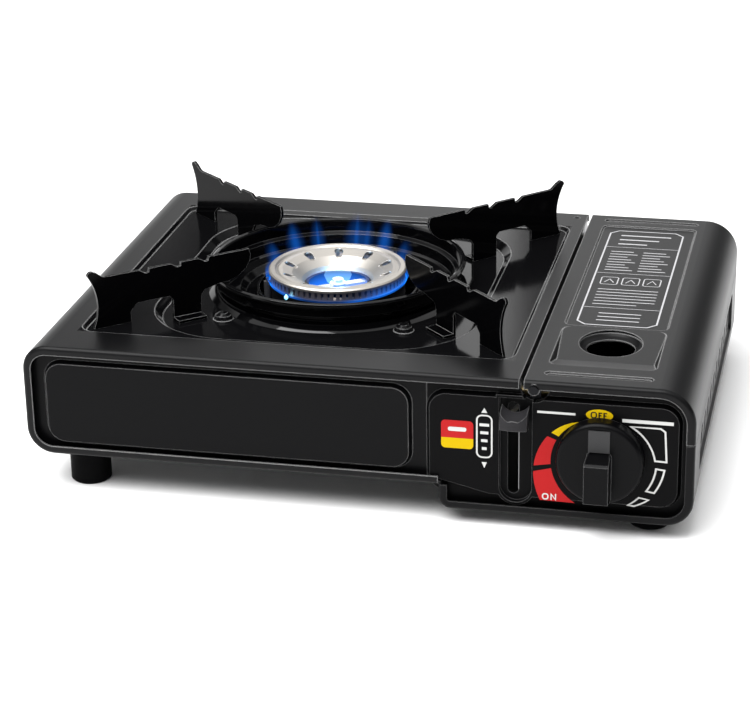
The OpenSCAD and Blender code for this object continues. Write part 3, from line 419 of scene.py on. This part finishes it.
# Field in two colours with a bar in its upper half, to the left of the lever
FIELD_U, FIELD_HALF, FIELD_R = -27.5, 8, 2
FIELD_LOW, FIELD_SPLIT, FIELD_HIGH = 40.8, 46.3, 55.7
field_left, field_right = FIELD_U - FIELD_HALF, FIELD_U + FIELD_HALF
red_half = (corner(field_right - FIELD_R, FIELD_HIGH - FIELD_R, FIELD_R, 0)
            + corner(field_left + FIELD_R, FIELD_HIGH - FIELD_R, FIELD_R, 90)
            + [(field_left, FIELD_SPLIT), (field_right, FIELD_SPLIT)])
yellow_half = ([(field_right, FIELD_SPLIT), (field_left, FIELD_SPLIT)]
               + corner(field_left + FIELD_R, FIELD_LOW + FIELD_R, FIELD_R, 180)
               + corner(field_right - FIELD_R, FIELD_LOW + FIELD_R, FIELD_R, 270))
printed("field_red", [red_half], red_ink, by_lever)
printed("field_yellow", [yellow_half], yellow_ink, by_lever)
field_bar = rounded(FIELD_U - 4.6, 50, FIELD_U + 4.6, 52.2, 1)
printed("field_bar", [field_bar], white_ink, by_lever, TOP_INK)

# Upright gauge between that field and the lever, with growing bars and an arrow head past each end
GAUGE_U, GAUGE_LINE = -14, 0.8
gauge = stroke(rounded(GAUGE_U - 3.7, 37, GAUGE_U + 3.7, 59.4, 2.6), GAUGE_LINE, closed=True)
for i in range(4):
    half, z = 1.2 + i * 0.4, 41 + i * 4.2
    gauge.append(bar(GAUGE_U - half, z, GAUGE_U + half, z + 1.5))
gauge.append([(GAUGE_U - 1.5, 60.8), (GAUGE_U + 1.5, 60.8), (GAUGE_U, 63.4)])
gauge.append([(GAUGE_U - 1.3, 34.4), (GAUGE_U, 31.2), (GAUGE_U + 1.3, 34.4)])
printed("gauge_sign", gauge, white_ink, by_lever)


def lid_shapes():
    """Frame with cut corners and, in it, rules, plain bars in the place of words, and three signs."""
    half, front, back, cut = 20.35, -36.5, 109.5, 4.5
    frame_line, rule, sign_line = 0.9, 0.5, 0.6
    shapes = stroke([(cut - half, front), (half - cut, front), (half, front + cut), (half, back - cut),
                     (half - cut, back), (cut - half, back), (-half, back - cut), (-half, front + cut)],
                    frame_line, closed=True)
    shapes += [bar(-half, y, half, y + rule) for y in (82, 40, -12)]
    # Heading of three lines, each shorter than the one behind it
    for i in range(3):
        y = 101 - i * 7
        shapes.append(bar(-14, y, 14 - i * 6, y + 1.6))
    # Two columns of text
    for i in range(8):
        y = 45 + i * 4.2
        for left in (4 - half, 1.5):
            shapes.append(bar(left, y, left + 15 - (i % 3) * 2.5, y + 1))
    # Signs side by side, each a rounded field with a peak in it
    for i in range(3):
        left = -16 + i * 11.4
        shapes += stroke(rounded(left, 23, left + 9, 34, 1.5), sign_line, closed=True)
        shapes += stroke([(left + 2, 26), (left + 4.5, 31), (left + 7, 26)], sign_line)
    # Full lines of text with a short one in front, and three lines by themselves
    for i in range(6):
        y = -7 + i * 4.4
        shapes.append(bar(-16, y, 7 if i == 0 else 16, y + 0.9))
    return shapes + [bar(-11, y, 11, y + 1) for y in (-20, -25, -30)]


printed("lid_print", lid_shapes(), lid_ink, on_lid, body="lid")

# ---------------------------------------------------------------- flames

BLUE = (0.01, 0.2, 1)
# A tongue of flame: how far it starts outside the ring and above the slots' lower end, and how far
# it leans out for each millimetre that it rises
ROOT_OUT, ROOT_UP, LEAN = 1.5, 2, 0.3
# Parts of a tongue's height at which it starts to narrow and to fade, and its width at the tip as a
# part of its full width
NARROWS_AT, FADES_AT, TIP_PART = 0.3, 0.35, 0.5
# Tongues: angle round the burner, height above the cap, half width, strength
TONGUES = (
    (139, 15, 7.5, 0.17),
    (119, 15, 5.5, 0.15),
    (88, 17, 8.5, 0.15),
    (79, 15, 6, 0.1),
    (63, 16, 7.5, 0.17),
    (38, 9, 7, 0.09),
    (165, 9, 7, 0.1),
)


def glow_material(name, color, level):
    """Clear glow whose strength is what level makes of the tree and the place."""
    m = bpy.data.materials.new(name)
    m.use_nodes = True
    tree = m.node_tree
    tree.nodes.clear()
    out = tree.nodes.new("ShaderNodeOutputMaterial")
    both = tree.nodes.new("ShaderNodeAddShader")
    clear = tree.nodes.new("ShaderNodeBsdfTransparent")
    glow = tree.nodes.new("ShaderNodeEmission")
    glow.inputs["Color"].default_value = (*color, 1)
    _, xyz = coordinates(tree, "Object")
    tree.links.new(level(tree, *xyz), glow.inputs["Strength"])
    tree.links.new(clear.outputs[0], both.inputs[0])
    tree.links.new(glow.outputs[0], both.inputs[1])
    tree.links.new(both.outputs[0], out.inputs["Surface"])
    return m


def flame_material(name, color, z_low, z_high, strength, weak_middle=None):
    """Glow strongest at z_low and gone at z_high. A weak middle is how far to each side of the
    burner it reaches and where full strength starts, and the part of the strength it has."""
    def level(tree, x, y, z):
        out = ramp(tree, z, z_low * MM, z_high * MM, strength, 0)
        if weak_middle:
            reaches, ends, part = weak_middle
            away = math_node(tree, "ABSOLUTE", math_node(tree, "SUBTRACT", x, burner_x * MM))
            out = math_node(tree, "MULTIPLY", out, ramp(tree, away, reaches * MM, ends * MM, part, 1))
        return out
    return glow_material(name, color, level)


def add_to_stove(name, points, faces, m):
    o = add_mesh(name, points, faces, m)
    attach(o, "stove")
    return o


def tongue(name, turn, top, half_wide, strength):
    """Soft flame on two crossed sheets, leaning away from the burner, brightest along its middle."""
    a = math.radians(turn)
    outward = Vector((math.cos(a), math.sin(a), 0))
    sideways = Vector((-math.sin(a), math.cos(a), 0))
    root = Vector((burner_x, burner_y, 0)) + outward * (ring_r + ROOT_OUT)
    root += Vector((0, 0, slot_low + ROOT_UP))
    height = cap_top + top - root.z

    def level(tree, x, y, z):
        rise = math_node(tree, "SUBTRACT", z, root.z * MM)
        away = []
        for here, start, slope in ((x, root.x, outward.x * LEAN), (y, root.y, outward.y * LEAN)):
            middle = math_node(tree, "ADD", math_node(tree, "MULTIPLY", rise, slope), start * MM)
            away.append(math_node(tree, "POWER", math_node(tree, "SUBTRACT", here, middle), 2))
        off = math_node(tree, "SQRT", math_node(tree, "ADD", *away))
        half = ramp(tree, rise, NARROWS_AT * height * MM, height * MM,
                    half_wide * MM, TIP_PART * half_wide * MM)
        across = ramp(tree, math_node(tree, "DIVIDE", off, half), 0, 1, strength, 0)
        along = ramp(tree, rise, FADES_AT * height * MM, height * MM, 1, 0)
        return math_node(tree, "MULTIPLY", across, along)

    points, faces = [], []
    for spread in (outward, sideways):
        start = len(points)
        for lift in (0, 1):
            middle = root + outward * LEAN * height * lift + Vector((0, 0, height * lift))
            points += [(middle + spread * half_wide * side) * MM for side in (-1, 1)]
        faces.append([start, start + 1, start + 3, start + 2])
    add_to_stove(name, points, faces, glow_material(name, BLUE, level))


def revolved(name, profile, m, steps, shift=(0, 0)):
    """Surface of revolution about an upright axis, shifted from the burner's. Its profile is radius
    and height."""
    points, faces = [], []
    for i in range(steps):
        a = 2 * math.pi * i / steps
        for r, z in profile:
            points.append(Vector((burner_x + shift[0] + r * math.cos(a),
                                  burner_y + shift[1] + r * math.sin(a), z)) * MM)
    k = len(profile)
    for i in range(steps):
        j = (i + 1) % steps
        for n in range(k - 1):
            faces.append([i * k + n, j * k + n, j * k + n + 1, i * k + n + 1])
    o = add_to_stove(name, points, faces, m)
    for f in o.data.polygons:
        f.use_smooth = True


# Flames that hug the ring at its slots and below them, weak in front and behind
skirt = flame_material("skirt_flame", BLUE, slot_low - 1, slot_high + 2.5, 0.5, (18, 33, 0.05))
revolved("skirt_flame", [(ring_r + 0.25, slot_low - 1), (ring_r + 1.4, slot_low),
                         (ring_r + 2.4, slot_low + 2), (ring_r + 3, slot_high + 2.5)], skirt, steps=96)
under = flame_material("under_flame", BLUE, slot_low - 1.6, slot_low + 0.4, 0.7, (8, 22, 0.2))
revolved("under_flame", [(ring_r + 0.2, slot_low - 1.8), (ring_r + 0.9, slot_low - 1.2),
                         (ring_r + 0.5, slot_low + 0.4)], under, steps=96)

for i, shape in enumerate(TONGUES):
    tongue(f"flame_{i}", *shape)

# Flame and glow in the burner's throat, and glow under the cap's ports
THROAT_DEPTH = 14
throat_z = cap_top - THROAT_DEPTH
inner = flame_material("inner_flame", (0.3, 0.65, 1), throat_z, cap_top + 3, 0.5)
revolved("inner_flame", [(2, throat_z + 4), (6, throat_z + 5.5), (7.5, throat_z + 9),
                         (4, cap_top + 3)], inner, steps=24)
deep = flame_material("throat_glow", (0.02, 0.2, 1), throat_z - 4, throat_z + 9, 1.2)
revolved("throat_glow", [(0.2, throat_z - 3), (14.6, throat_z - 3), (15.5, throat_z),
                         (15.6, throat_z + 5.5), (17.2, throat_z + 6.5)], deep, steps=48)
ports = flame_material("port_glow", (0.5, 0.66, 1), cap_top - 6, cap_top, 0.3)
revolved("port_glow", [(23.6, cap_top - 4.9), (29.4, cap_top - 2.8)], ports, steps=48)

# Pilot flame, beside the ring at the front left
PILOT_TURN, PILOT_OUT = 238, 2.2
pilot_a, pilot_r = math.radians(PILOT_TURN), ring_r + PILOT_OUT
spark = material("spark", (0.3, 0.7, 1), 0.5, glow=(0.25, 0.7, 1), glow_strength=2.2)
revolved("pilot_flame", [(0.1, slot_low - 2.6), (0.9, slot_low - 2), (1.1, slot_low - 1),
                         (0.1, slot_low + 0.4)], spark, steps=12,
         shift=(pilot_r * math.cos(pilot_a), pilot_r * math.sin(pilot_a)))

# ---------------------------------------------------------------- bead round the bowl's seat

# Low dark bead in the well, whose slope throws back the bright curve that shows round the bowl
revolved("well_bead", [(64.8, well_z + 0.05), (64.9, well_z + 2.7), (65.3, well_z + 3),
                       (67.2, well_z + 1.8), (69.1, well_z + 0.5), (69.7, well_z + 0.05)],
         finishes["gloss_black"], steps=128)

# ---------------------------------------------------------------- floor and light, in metres

FLOOR_HALF = 6
square = bar(-FLOOR_HALF, -FLOOR_HALF, FLOOR_HALF, FLOOR_HALF)
floor = add_mesh("floor", [(x, y, 0) for x, y in square], [(0, 1, 2, 3)],
                 material("floor", (0.93, 0.93, 0.93), 0.9, specular=0.1))

# Light by direction, each direction being one unit long
world = bpy.data.worlds.new("world")
scene.world = world
world.use_nodes = True
sky = world.node_tree
_, (rightward, backward, upward) = coordinates(sky, "Generated")


def right_of(slope):
    """How far a direction lies to the right of an upright plane, turned left by that slope."""
    return math_node(sky, "MULTIPLY_ADD", backward, slope, rightward)


# Window behind the stove, brighter on its left
window = ramp(sky, right_of(0.1), -0.1, 0.1, 1.7, 1.1)
# Dark screens over the window's right and left: slope of the plane at a screen's edge, where the
# change starts and ends beside that plane, and the parts of the light that pass left and right of it
SCREENS = ((-0.14, -0.12, 0.12, 1, 0.2), (0.29, -0.045, 0.035, 0.05, 1))
for slope, start, end, pass_left, pass_right in SCREENS:
    screen = ramp(sky, right_of(slope), start, end, pass_left, pass_right)
    window = math_node(sky, "MULTIPLY", window, screen)

# Low bright strip at the back left
STRIP_LEVEL = 1.2
STRIP_TOP = (0.25, 0.34)
strip = math_node(sky, "MULTIPLY", ramp(sky, right_of(0.29), -0.04, 0.04, STRIP_LEVEL, 0),
                  ramp(sky, upward, *STRIP_TOP, 1, 0))

# Dark band across both, with twice the light above it and bright upright streaks through it, each
# by its slope and half its width
BAND_LEVEL, ABOVE_LEVEL, STREAK_LEVEL = 0.15, 2, 1.1
BAND_FOOT, BAND_TOP = (0.26, 0.31), (0.39, 0.45)
STREAKS = ((0.18, 0.024), (0.34, 0.022))
band = math_node(sky, "MAXIMUM", ramp(sky, upward, *BAND_FOOT, 1, BAND_LEVEL),
                 ramp(sky, upward, *BAND_TOP, BAND_LEVEL, ABOVE_LEVEL))
for slope, half in STREAKS:
    off = math_node(sky, "ABSOLUTE", right_of(slope))
    band = math_node(sky, "MAXIMUM", band, ramp(sky, off, 0.5 * half, half, STREAK_LEVEL, 0))
behind = math_node(sky, "MULTIPLY", math_node(sky, "ADD", window, strip), band)

# Even light from overhead, where upward is past OVERHEAD's stretch
OVERHEAD, OVERHEAD_LEVEL = (0.5, 0.75), 1.3
mix = sky.nodes.new("ShaderNodeMix")
sky.links.new(ramp(sky, upward, *OVERHEAD, 0, 1), mix.inputs["Factor"])
sky.links.new(behind, mix.inputs["A"])
mix.inputs["B"].default_value = OVERHEAD_LEVEL
background = sky.nodes["Background"]
background.inputs["Color"].default_value = (1, 1, 1, 1)
sky.links.new(mix.outputs[0], background.inputs["Strength"])

# Large soft light above the stove's front left
TOP_PLACE, TOP_AIM = Vector((-0.3, -0.6, 1.25)), Vector((0, -0.05, 0.05))
top_light = bpy.data.lights.new("top", "AREA")
top_light.shape = "RECTANGLE"
top_light.size, top_light.size_y = 1.3, 1.1
top_light.energy = 38
top = add("top", top_light)
top.location = TOP_PLACE
top.rotation_euler = (TOP_AIM - TOP_PLACE).to_track_quat("-Z", "Y").to_euler()

# Blue light of the flame in the throat
throat_light = bpy.data.lights.new("throat_light", "POINT")
throat_light.color = (0.3, 0.6, 1)
throat_light.energy = 0.02
throat_light.shadow_soft_size = 3 * MM
add("throat_light", throat_light).location = Vector((burner_x, burner_y, cap_top - 1)) * MM

# ---------------------------------------------------------------- camera

# As fitted to the photograph: its width and the focal length in pixels, the angles, and the place
# in metres
PHOTO_WIDTH, FOCAL_PX = 750, 2386.3
YAW, PITCH, ROLL = 12.812, 22.174, -1.006
CAMERA_PLACE = (0.25175, -1.16576, 0.5276)
SENSOR = 36

yaw, pitch, roll = (math.radians(v) for v in (YAW, PITCH, ROLL))
forward = Vector((-math.sin(yaw) * math.cos(pitch), math.cos(yaw) * math.cos(pitch), -math.sin(pitch)))
right = forward.cross(Vector((0, 0, 1))).normalized()
up = right.cross(forward)
right, up = (math.cos(roll) * right + math.sin(roll) * up,
             -math.sin(roll) * right + math.cos(roll) * up)
camera = add("camera", bpy.data.cameras.new("camera"))
camera.matrix_world = Matrix((*zip(right, up, -forward, CAMERA_PLACE), (0, 0, 0, 1)))
camera.data.sensor_width = SENSOR
camera.data.lens = FOCAL_PX / PHOTO_WIDTH * SENSOR
camera.data.clip_start = 0.01
scene.camera = camera

scene.view_settings.view_transform = "Standard"
